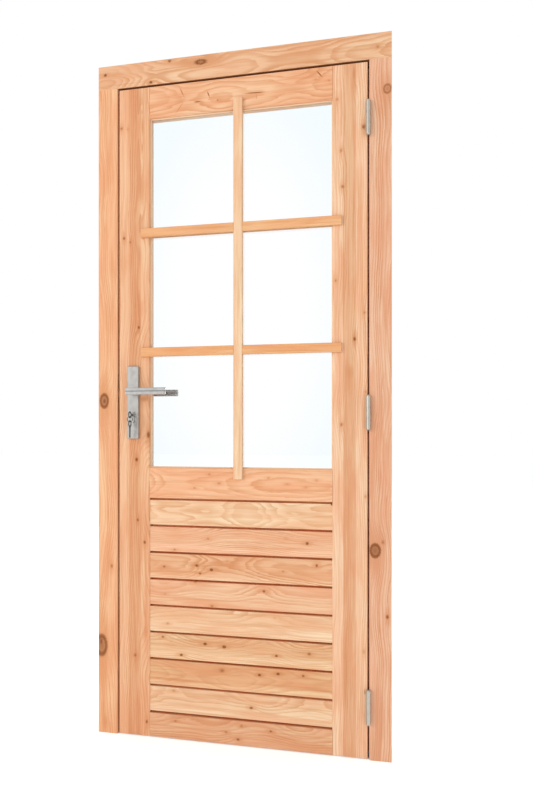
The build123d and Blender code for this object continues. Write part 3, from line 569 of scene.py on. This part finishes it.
# Every wooden piece: its tone as screen values, then the cut. A knot is (column, row, half width,
# half height) in the photograph's pixels, then its shade from 0 to 1. A crack also has its turn in degrees.
planks = {
    "head": Plank(
        (234, 182, 142), pith=(-6, 60), slope=0.014, ring=6, grain=1.5,
        knots=[
            (200.7, 61.9, 6, 2.9, 1), (169.5, 61.1, 1.9, 1.6, 0.75), (150.9, 82.3, 1.7, 1.5, 0.88),
            (105.4, 75.4, 1.7, 1.6, 0.85), (377.7, 46.7, 2.4, 2.2, 0.55), (116, 74.5, 9, 1.6, 0.3),
        ]),
    "lock_jamb": Plank(
        (240, 179, 134), True, pith=(-75, 45), slope=0.012, ring=6, grain=1.4,
        knots=[
            (104.3, 400.9, 4.3, 7.2, 0.78), (104.6, 401.2, 1.8, 3.2, 0.82), (111.7, 566, 1.7, 2.5, 0.62),
            (101.6, 645, 5.6, 10.5, 0.76), (101.3, 641.5, 2, 4.4, 0.78), (105, 722, 2.5, 8, 0.4),
        ]),
    "hinge_jamb": Plank(
        (234, 178, 144), True, pith=(70, 40), slope=0.012, ring=6, grain=1.6,
        knots=[
            (387.4, 88.6, 4.2, 5, 0.66), (375.2, 550.7, 5.4, 7, 0.8), (382.9, 542.3, 2.4, 2.8, 0.6),
            (387.4, 617, 1.8, 2.6, 0.75),
        ]),
    "lock_stile": Plank(
        (235, 176, 134), True, pith=(60, 40), slope=0.015, ring=6, grain=1.4,
        strips=[(0, 1.03), (0.33, 0.92), (0.7, 1.01)],
        knots=[
            (121.6, 128.7, 1.6, 1.8, 0.62), (128, 129.3, 1.2, 1.5, 0.45), (124.1, 238.4, 1.5, 2, 0.7),
            (130.3, 242.2, 1.1, 1.5, 0.6), (138.8, 327.5, 1.4, 2, 0.76), (148.3, 434.8, 1.7, 4.2, 0.75),
            (136.6, 459.5, 1.5, 2.2, 0.82), (137.7, 519.9, 1.4, 1.9, 0.68), (144.7, 542.2, 1.5, 2, 0.74),
            (135.3, 655, 1.7, 2.3, 0.62), (136, 656, 4.5, 5, 0.26), (146.8, 721.7, 1.5, 2.3, 0.7),
            (142.5, 126, 1.2, 9, 0.42),
            # The middle mark below, at (144, 399.5), is not a knot but the lever's painted shadow on the
            # stile
            (144, 200, 2.2, 24, 0.2), (144, 399.5, 3.6, 2.4, 0.42), (146, 632, 1.6, 6, 0.4),
        ]),
    "hinge_stile": Plank(
        (240, 188, 150), True, pith=(-85, 45), slope=0.015, ring=6, grain=1.1,
        strips=[(0, 1.03), (0.31, 0.89), (0.67, 1.02)],
        knots=[
            (337, 99.5, 1.8, 2.1, 0.56), (341, 150.5, 1.7, 2.6, 0.58), (363.6, 126.8, 2.4, 3, 0.68),
            (342.4, 186.6, 2, 2.3, 0.62), (335.7, 280.6, 1.4, 1.9, 0.6), (364.4, 312.6, 1.4, 2, 0.58),
            (354.6, 339, 1.7, 2.5, 0.74), (341.4, 424.6, 1.8, 2.5, 0.62), (365.5, 391.8, 1.3, 2, 0.5),
            (365.5, 496.6, 1.3, 2, 0.5), (363.7, 651.7, 1.6, 2.5, 0.46), (354, 73.5, 1.4, 6.5, 0.45),
            (350, 372, 3.5, 7, 0.26),
        ],
        cracks=[(364.9, 691.8, 0.5, 3.4, 0.8, 0)]),
    "top_rail": Plank(
        (239, 179, 137), pith=(5, 90), slope=0.012, ring=7, grain=1.1,
        knots=[
            (217.7, 100.3, 1.2, 1.2, 0.6), (315.6, 79.6, 1.5, 1.2, 0.45), (328.8, 80.4, 1.5, 1.2, 0.5),
            (312, 73, 3.5, 2.2, 0.28),
        ],
        cracks=[
            (181.8, 92, 6.8, 0.7, 0.62, 65), (179.3, 108.2, 6.4, 0.7, 0.5, -52),
            (197.6, 101.8, 3.8, 0.7, 0.9, -2), (208.4, 94.2, 3.6, 0.65, 0.85, 67),
            (255, 92.7, 11, 0.65, 0.9, 2), (256.5, 96.5, 2.6, 0.5, 0.5, 85), (319.4, 73.8, 5.6, 0.7, 0.9, 50),
        ]),
    "mid_rail": Plank(
        (243, 184, 142), pith=(0, 80), slope=0.014, ring=6,
        knots=[
            (209.3, 474.4, 1.4, 1.3, 0.56), (219, 483.4, 1.8, 1.4, 0.54), (194.6, 488, 1.4, 1.2, 0.5),
            (268.5, 478, 1.6, 1.3, 0.44), (287.2, 484.1, 1.4, 1.2, 0.42), (305.9, 487.4, 1.3, 1.2, 0.44),
            (316.5, 480.6, 1.7, 1.4, 0.42),
        ]),
    "board_1": Plank(
        (242, 196, 156), pith=(-5, 90), slope=0.012, ring=7,
        knots=[(188, 510.7, 9, 2, 0.28), (316, 514, 10, 1.6, 0.24)],
        cracks=[(332, 504.6, 1.6, 1.3, 0.9, 0)]),
    "board_2": Plank(
        (240, 184, 145), pith=(55, 45), slope=0.008, ring=5, grain=1.3, strips=[(0.12, 1.07), (0.34, 0.985)],
        knots=[
            (208, 538.7, 1.5, 1.3, 0.55), (174.6, 549.7, 1.8, 1.4, 0.6), (307.2, 543.5, 1.9, 1.8, 0.78),
            (307.2, 543.5, 4.5, 3.4, 0.26), (286, 538.4, 3, 2, 0.3),
        ]),
    "board_3": Plank(
        (235, 179, 137), pith=(0, 55), slope=0.02, ring=5, grain=1.5, strips=[(0.08, 1.06), (0.24, 0.99)],
        knots=[
            (164.3, 566.5, 1.8, 1.4, 0.66), (196.8, 565.5, 2.4, 1.7, 0.76), (211.4, 569.8, 2, 1.7, 0.85),
            (200, 573.4, 1.6, 1.2, 0.74), (227, 561.5, 2, 1.4, 0.4), (316.7, 565.8, 1.5, 1.8, 0.74),
            (283.1, 571.6, 1.5, 1.2, 0.52),
        ]),
    "board_4": Plank(
        (237, 179, 139), pith=(35, 70), slope=0.012, ring=6,
        knots=[
            (195.2, 581.7, 2, 1.6, 0.6), (212, 606, 2, 1.4, 0.6), (263.9, 591.3, 1.8, 1.7, 0.72),
            (263.9, 591.3, 3.6, 3, 0.26), (165, 594, 1.5, 1.2, 0.4),
        ]),
    "board_5": Plank(
        (240, 193, 153), pith=(40, 75), slope=0.012, ring=6, strips=[(0.2, 1.03), (0.5, 0.985)],
        knots=[(167.7, 623.5, 1.6, 1.3, 0.54), (274.8, 617.8, 2, 1.4, 0.32)]),
    "board_6": Plank(
        (235, 186, 143), pith=(42, 60), slope=0.016, ring=5, grain=1.6, strips=[(0.14, 1.08), (0.34, 0.98)],
        knots=[
            (162.9, 636.7, 1.6, 1.3, 0.68), (205.1, 643.9, 2, 1.6, 0.88), (224.1, 646.8, 2, 1.7, 0.95),
            (181.3, 654.9, 1.8, 1.4, 0.85), (309.2, 654, 2.4, 2, 0.66), (309.2, 654, 6, 3.2, 0.3),
            (276.5, 655.9, 1.7, 1.4, 0.8),
        ]),
    "board_7": Plank(
        (229, 171, 125), pith=(-10, 50), slope=0.014, ring=6, strips=[(0.1, 1.08), (0.26, 0.985)],
        knots=[
            (222, 670.6, 3.2, 2.3, 0.62), (222, 670.6, 6.5, 3.4, 0.3), (259.5, 675, 1.7, 1.5, 0.85),
            (278, 674, 1.8, 1.5, 0.9), (303.2, 676, 1.7, 1.4, 0.7),
        ]),
    "board_8": Plank(
        (238, 190, 150), pith=(30, 75), slope=0.012, ring=6, strips=[(0.15, 1.03), (0.4, 0.995)],
        knots=[(173.8, 690.7, 1.7, 1.4, 0.54), (251.2, 707.9, 1.9, 1.5, 0.76), (250.8, 708, 5, 3.4, 0.28)]),
    "bottom_rail": Plank(
        (229, 171, 130), pith=(36, 55), slope=0.014, ring=6, grain=1.3,
        knots=[
            (175.5, 721.1, 1.8, 1.4, 0.58), (241.5, 726, 1.8, 1.7, 0.56), (226, 732, 1.7, 1.3, 0.58),
            (238, 739.5, 1.7, 1.4, 0.74), (238, 739.5, 4.5, 3, 0.28), (270.8, 731.4, 1.7, 1.4, 0.7),
        ]),
    "outer_bar_vertical": Plank((239, 195, 155), True, pith=(60, 90), slope=0.005, ring=4, grain=0.35),
    "outer_bar_upper": Plank((234, 170, 119), pith=(60, 90), slope=0.005, ring=4, grain=0.35),
    "outer_bar_lower": Plank((234, 168, 115), pith=(50, 80), slope=0.005, ring=4, grain=0.35),
    "inner_bar_vertical": Plank((243, 203, 163), True, pith=(60, 90), slope=0.005, ring=4, grain=0.35),
    "inner_bar_upper": Plank((240, 182, 135), pith=(60, 90), slope=0.005, ring=4, grain=0.35),
    "inner_bar_lower": Plank((241, 180, 132), pith=(50, 80), slope=0.005, ring=4, grain=0.35),
    "bead_left": Plank((240, 190, 148), True, pith=(60, 80), slope=0.005, ring=4, grain=0.35),
    "bead_right": Plank((239, 188, 146), True, pith=(50, 80), slope=0.005, ring=4, grain=0.35),
    "bead_top": Plank((240, 190, 148), pith=(60, 80), slope=0.005, ring=4, grain=0.35),
    "bead_bottom": Plank((238, 186, 144), pith=(50, 80), slope=0.005, ring=4, grain=0.35),
}


def finish_with(name, material):
    slots = nodes[name].data.materials
    slots.clear()
    slots.append(material)


for name, plank in planks.items():
    finish_with(name, larch_material(name, plank))


# Metals and glass

brush_waves = 900
smudge_waves = 60
metal_bump = 0.2
metal_bump_height = 0.05 * MM
# A painted line of shade along the lever's middle: how strong it is, where it fades, and its colour
groove_shade = 0.6
groove_edge = (1.2 * MM, 1.5 * MM)
groove_shade_colour = (0.05, 0.05, 0.05, 1)
blotches = (0.3, 0.7)
shinier = 0.06
duller = 0.08


def metal(name, tone, roughness, brush=(1, 1, 1), wear=0.1, groove=False):
    """A satin metal: fine brushing along one way, faint smudges and a slight grain.

    wear is how much darker it gets in places. groove paints a line of shade along the lever's middle.
    """
    material, sheet, shader = new_material(name)
    place = sheet.place()
    lines = sheet.noise(sheet.scaled(place, tuple(brush_waves * value for value in brush)), detail=3)
    smudge = sheet.noise(place, scale=smudge_waves, detail=3)
    light = linear(*tone)
    dark = tuple(value * (1 - wear) for value in light[:3]) + (1,)
    both = sheet.math("ADD", sheet.math("MULTIPLY", lines, 0.5), sheet.math("MULTIPLY", smudge, 0.5))
    colour = sheet.mix(sheet.spread(both, *blotches), dark, light)
    # Painted shade along the lever's middle
    if groove:
        _, _, height = sheet.parts(place)
        off_line = sheet.math("ABSOLUTE", sheet.math("SUBTRACT", height, lever_height))
        groove_painted_shade = sheet.spread(off_line, *groove_edge, groove_shade, 0)
        colour = sheet.mix(groove_painted_shade, colour, groove_shade_colour)
    sheet.put(shader.inputs["Base Color"], colour)
    sheet.put(shader.inputs["Roughness"],
              sheet.spread(smudge, *blotches, roughness - shinier, roughness + duller))
    shader.inputs["Metallic"].default_value = 1
    sheet.bump(shader, lines, metal_bump, metal_bump_height)
    return material


lever_metal = metal("satin_aluminium_lever", (179, 178, 176), 0.36, brush=(0.2, 1, 1), groove=True)
handle_metal = metal("satin_aluminium", (177, 175, 171), 0.36, brush=(0.2, 1, 1))
hinge_metal = metal("galvanised_steel", (188, 186, 176), 0.42, brush=(1, 1, 0.15), wear=0.18)
lock_metal = metal("zinc_plated_steel", (186, 186, 184), 0.34, brush=(1, 1, 0.1))
key_metal = metal("nickel_plate", (112, 110, 106), 0.25, brush=(1, 0.3, 1))
cylinder_metal = metal("satin_nickel", (178, 176, 172), 0.38)

for name in nodes:
    if name.startswith("hinge_") and name.endswith("_half"):
        finish_with(name, hinge_metal)
for name in ("outer_plate", "inner_plate"):
    finish_with(name, handle_metal)
for name in ("outer_lever", "inner_lever"):
    finish_with(name, lever_metal)
for name in ("strike_plate", "lock_case", "spindle"):
    finish_with(name, lock_metal)
for name in ("lock_cylinder", "cylinder_plug"):
    finish_with(name, cylinder_metal)
for name in ("key", "key_ring", "spare_key"):
    finish_with(name, key_metal)

# Painted reflection: the glass is clearest a little below its middle and tinted bluer at its corners, in
# shares of its size
clearest_drop = 0.05
reflection_reach = (0.3, 0.72)
corner_reflection_tint = (0.90, 0.975, 1, 1)
glass_index = 1.6


def glass_material():
    """Clear glass, a little bluer towards the corners of the window, which is painted reflection."""
    material, sheet, shader = new_material("clear_glass")
    low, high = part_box("glass_pane")
    middle = (low + high) / 2
    middle.z -= clearest_drop * (high.z - low.z)
    offset = sheet.vector("SUBTRACT", sheet.place(), tuple(middle))
    reach = sheet.length(sheet.scaled(offset, (1 / (high.x - low.x), 0, 1 / (high.z - low.z))))
    # Painted reflection: bluer towards the corners
    tint = sheet.mix(sheet.spread(reach, *reflection_reach), (1, 1, 1, 1), corner_reflection_tint)
    sheet.put(shader.inputs["Base Color"], tint)
    shader.inputs["Roughness"].default_value = 0
    shader.inputs["IOR"].default_value = glass_index
    shader.inputs["Transmission Weight"].default_value = 1
    return material


finish_with("glass_pane", glass_material())


def plain_material(name, tone, roughness):
    material, _, shader = new_material(name)
    shader.inputs["Base Color"].default_value = linear(*tone)
    shader.inputs["Roughness"].default_value = roughness
    return material


# Screws and glazing sealant, which are too fine for the CAD

screw_sides = 24
screw_proud = 0.2 * MM

# A screw's depth and its cross, as shares of its radius
screw_depth = 0.5
cross_arm = 0.55
cross_half = 0.14

hinge_screw_radius = 4 * MM
flap_screws = ((-32, 8), (0, 17), (32, 8))
bush_proud = 1.5 * MM
neck_radius = 8 * MM
neck_depth = 22 * MM
plate_screw_pixel = (131.9, 371.2)
outer_plate_screw_radius = 2.2 * MM
inner_plate_screw_radius = 3.5 * MM
lock_screw_radius = 3.8 * MM
set_screw_radius = 1.8 * MM
faceplate_screw_inset = 8 * MM
strike_screw_inset = 10 * MM


def cross_outline(arm, half):
    """The twelve corners of a plus sign, in order."""
    quarter = [(arm, -half), (arm, half), (half, half)]
    points = []
    for turn in range(4):
        for x, y in quarter:
            for _ in range(turn):
                x, y = -y, x
            points.append((x, y))
    return points


def ring_of(builder, points, z):
    made = [builder.verts.new((x, y, z)) for x, y in points]
    edges = [builder.edges.new((made[index - 1], made[index])) for index in range(len(made))]
    return made, edges


def wall_between(builder, low, high):
    for index in range(len(low)):
        builder.faces.new((low[index - 1], low[index], high[index], high[index - 1]))


def add_piece(name, builder, material, body):
    mesh = bpy.data.meshes.new(name)
    builder.to_mesh(mesh)
    builder.free()
    mesh.materials.append(material)
    piece = bpy.data.objects.new(name, mesh)
    bpy.context.scene.collection.objects.link(piece)
    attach(piece, body)


def add_screw(name, place, facing, radius, body):
    """A countersunk screw head with a cross recess. Its top stands just proud at place."""
    depth = radius * screw_depth
    turns = [2 * math.pi * index / screw_sides for index in range(screw_sides)]
    circle = [(radius * math.cos(angle), radius * math.sin(angle)) for angle in turns]
    cross = cross_outline(radius * cross_arm, radius * cross_half)
    builder = bmesh.new()
    top, top_edges = ring_of(builder, circle, screw_proud)
    bottom, _ = ring_of(builder, circle, -depth - screw_proud)
    mouth, mouth_edges = ring_of(builder, cross, screw_proud)
    recess, _ = ring_of(builder, cross, screw_proud - depth)
    bmesh.ops.triangle_fill(builder, use_beauty=True, edges=top_edges + mouth_edges)
    wall_between(builder, bottom, top)
    wall_between(builder, mouth, recess)
    builder.faces.new(recess)
    builder.faces.new(list(reversed(bottom)))
    bmesh.ops.recalc_face_normals(builder, faces=builder.faces[:])
    turn = Vector((0, 0, 1)).rotation_difference(Vector(facing)).to_matrix().to_4x4()
    bmesh.ops.transform(builder, matrix=Matrix.Translation(place) @ turn, verts=builder.verts[:])
    add_piece(name, builder, lock_metal, body)


def add_hinge_screws():
    """Three screws in each flap, in a zigzag given as (rise from its middle, inset from its edge) in mm."""
    for place in ("top", "middle", "bottom"):
        for half, face_x, facing in (("frame", leaf_right + side_gap, -1), ("leaf", leaf_right, 1)):
            low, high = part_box("hinge_%s_%s_half" % (place, half))
            middle = (low.z + high.z) / 2
            for index, (rise, inset) in enumerate(flap_screws):
                name = "hinge_%s_%s_screw_%d" % (place, half, index + 1)
                spot = (face_x, high.y - inset * MM, middle + rise * MM)
                add_screw(name, spot, (facing, 0, 0), hinge_screw_radius, half)


def add_lock_screws():
    """Screws of the plates, the faceplate, the strike plate and the lever necks."""
    plate_low, plate_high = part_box("outer_plate")
    _, height = on_face(*plate_screw_pixel, plate_low.y)
    add_screw("outer_plate_screw", (lock_x, plate_low.y + bush_proud, height), (0, -1, 0),
              outer_plate_screw_radius, "leaf")
    _, inner_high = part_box("inner_plate")
    for label, z in (("upper", height), ("lower", plate_low.z + plate_high.z - height)):
        add_screw("inner_plate_%s_screw" % label, (lock_x, inner_high.y - bush_proud, z), (0, 1, 0),
                  inner_plate_screw_radius, "leaf")
    low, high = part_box("lock_case")
    for label, z in (("upper", high.z - faceplate_screw_inset), ("lower", low.z + faceplate_screw_inset)):
        add_screw("faceplate_%s_screw" % label, (low.x, (low.y + high.y) / 2, z), (-1, 0, 0),
                  lock_screw_radius, "leaf")
    low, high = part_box("strike_plate")
    for label, z in (("upper", high.z - strike_screw_inset), ("lower", low.z + strike_screw_inset)):
        add_screw("strike_%s_screw" % label, (high.x, (low.y + high.y) / 2, z), (1, 0, 0),
                  lock_screw_radius, "frame")
    for side in ("outer", "inner"):
        low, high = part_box(side + "_lever")
        neck_y = low.y + neck_depth if side == "outer" else high.y - neck_depth
        add_screw(side + "_lever_set_screw", (lock_x, neck_y, lever_height - neck_radius), (0, 0, -1),
                  set_screw_radius, "handle")


sealant_cover = 8 * MM
sealant_width = 2.5 * MM
sealant_thickness = 2.5 * MM
sealant_lip = 0.3
sealant_gap = 0.1 * MM
sealant_tone = (228, 190, 154)
sealant_roughness = 0.6


def add_sealant():
    """A thin bead of sealant in front of the glass, all round the window's opening."""
    glass_low, glass_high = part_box("glass_pane")
    x_low, x_high = glass_low.x + sealant_cover, glass_high.x - sealant_cover
    z_low, z_high = glass_low.z + sealant_cover, glass_high.z - sealant_cover
    width = sealant_width
    outer = [(x_low, z_low), (x_high, z_low), (x_high, z_high), (x_low, z_high)]
    inner = [(x_low + width, z_low + width), (x_high - width, z_low + width),
             (x_high - width, z_high - width), (x_low + width, z_high - width)]
    back = glass_low.y - sealant_gap
    front = back - sealant_thickness
    lip = back - sealant_thickness * sealant_lip
    builder = bmesh.new()
    rows = [[builder.verts.new((x, y, z)) for x, z in outline]
            for outline, y in ((outer, front), (inner, lip), (inner, back), (outer, back))]
    for index in range(4):
        wall_between(builder, rows[index - 1], rows[index])
    bmesh.ops.recalc_face_normals(builder, faces=builder.faces[:])
    sealant = plain_material("sealant", sealant_tone, sealant_roughness)
    add_piece("glazing_sealant", builder, sealant, "leaf")


# Floor, light and camera

floor_tone = (245, 245, 245)
floor_roughness = 0.9
floor_glow = 0.35
far_floor_glow = 0.09
far_floor = (2, 7)
floor_half_size = 20
floor_drop = 0.5 * MM

# How softly the strip of painted shade under the door ends: at its sides, in front and behind
foot_edge = 5 * MM
foot_front = 12 * MM
foot_rear = 40 * MM

sky_strength = 1.0
light_size = 2.0
key_place = (-7.2, -5.6, 3.4)
key_power = 210
back_fill_place = (3.5, 7.5, 3.0)
back_fill_power = 130


def floor_material():
    """Pale floor with a soft glow of its own, which the strip that the door stands on lacks, leaving painted
    shade under the door.
    """
    material, sheet, shader = new_material("pale_floor")
    x, y, _ = sheet.parts(sheet.place())
    from_left = sheet.spread(x, cad_low.x, cad_low.x + foot_edge)
    from_right = sheet.spread(x, -foot_edge, 0, 1, 0)
    front = sheet.spread(y, leaf_face, leaf_face + foot_front)
    rear = sheet.spread(y, cad_high.y, cad_high.y + foot_rear, 1, 0)
    ends = sheet.math("MULTIPLY", from_left, from_right)
    shaded_foot = sheet.math("MULTIPLY", ends, sheet.math("MULTIPLY", front, rear))
    glow = sheet.spread(y, *far_floor, floor_glow, far_floor_glow)
    white = linear(*floor_tone)
    shader.inputs["Base Color"].default_value = white
    shader.inputs["Emission Color"].default_value = white
    shader.inputs["Roughness"].default_value = floor_roughness
    # Painted shade: the strip under the door has no glow
    unshaded = sheet.math("SUBTRACT", 1, shaded_foot)
    sheet.put(shader.inputs["Emission Strength"], sheet.math("MULTIPLY", glow, unshaded))
    return material


def make_floor():
    mesh = bpy.data.meshes.new("floor")
    builder = bmesh.new()
    bmesh.ops.create_grid(builder, x_segments=1, y_segments=1, size=floor_half_size)
    builder.to_mesh(mesh)
    builder.free()
    floor = bpy.data.objects.new("floor", mesh)
    bpy.context.scene.collection.objects.link(floor)
    floor.location.z = -floor_drop
    mesh.materials.append(floor_material())


def area_light(name, place, target, power):
    data = bpy.data.lights.new(name, "AREA")
    data.energy = power
    data.size = light_size
    light = bpy.data.objects.new(name, data)
    light.location = place
    aim = Vector(target) - Vector(place)
    light.rotation_euler = aim.to_track_quat("-Z", "Y").to_euler()
    bpy.context.scene.collection.objects.link(light)


def make_lights():
    world = bpy.data.worlds.new("studio")
    bpy.context.scene.world = world
    world.use_nodes = True
    background = world.node_tree.nodes["Background"]
    background.inputs["Color"].default_value = (1, 1, 1, 1)
    background.inputs["Strength"].default_value = sky_strength
    middle = (cad_low + cad_high) / 2
    area_light("key", key_place, middle, key_power)
    area_light("back_fill", back_fill_place, middle, back_fill_power)


def make_camera():
    data = bpy.data.cameras.new("camera")
    data.sensor_width = sensor_mm
    data.lens = focal_pixels / image_height * sensor_mm
    data.shift_y = (horizon_row - image_height / 2) / image_height
    camera = bpy.data.objects.new("camera", data)
    camera.location = eye
    camera.rotation_euler = (math.pi / 2, 0, camera_turn)
    bpy.context.scene.collection.objects.link(camera)
    bpy.context.scene.camera = camera


add_hinge_screws()
add_lock_screws()
add_sealant()
make_floor()
make_lights()
make_camera()
bpy.context.scene.view_settings.view_transform = "Standard"
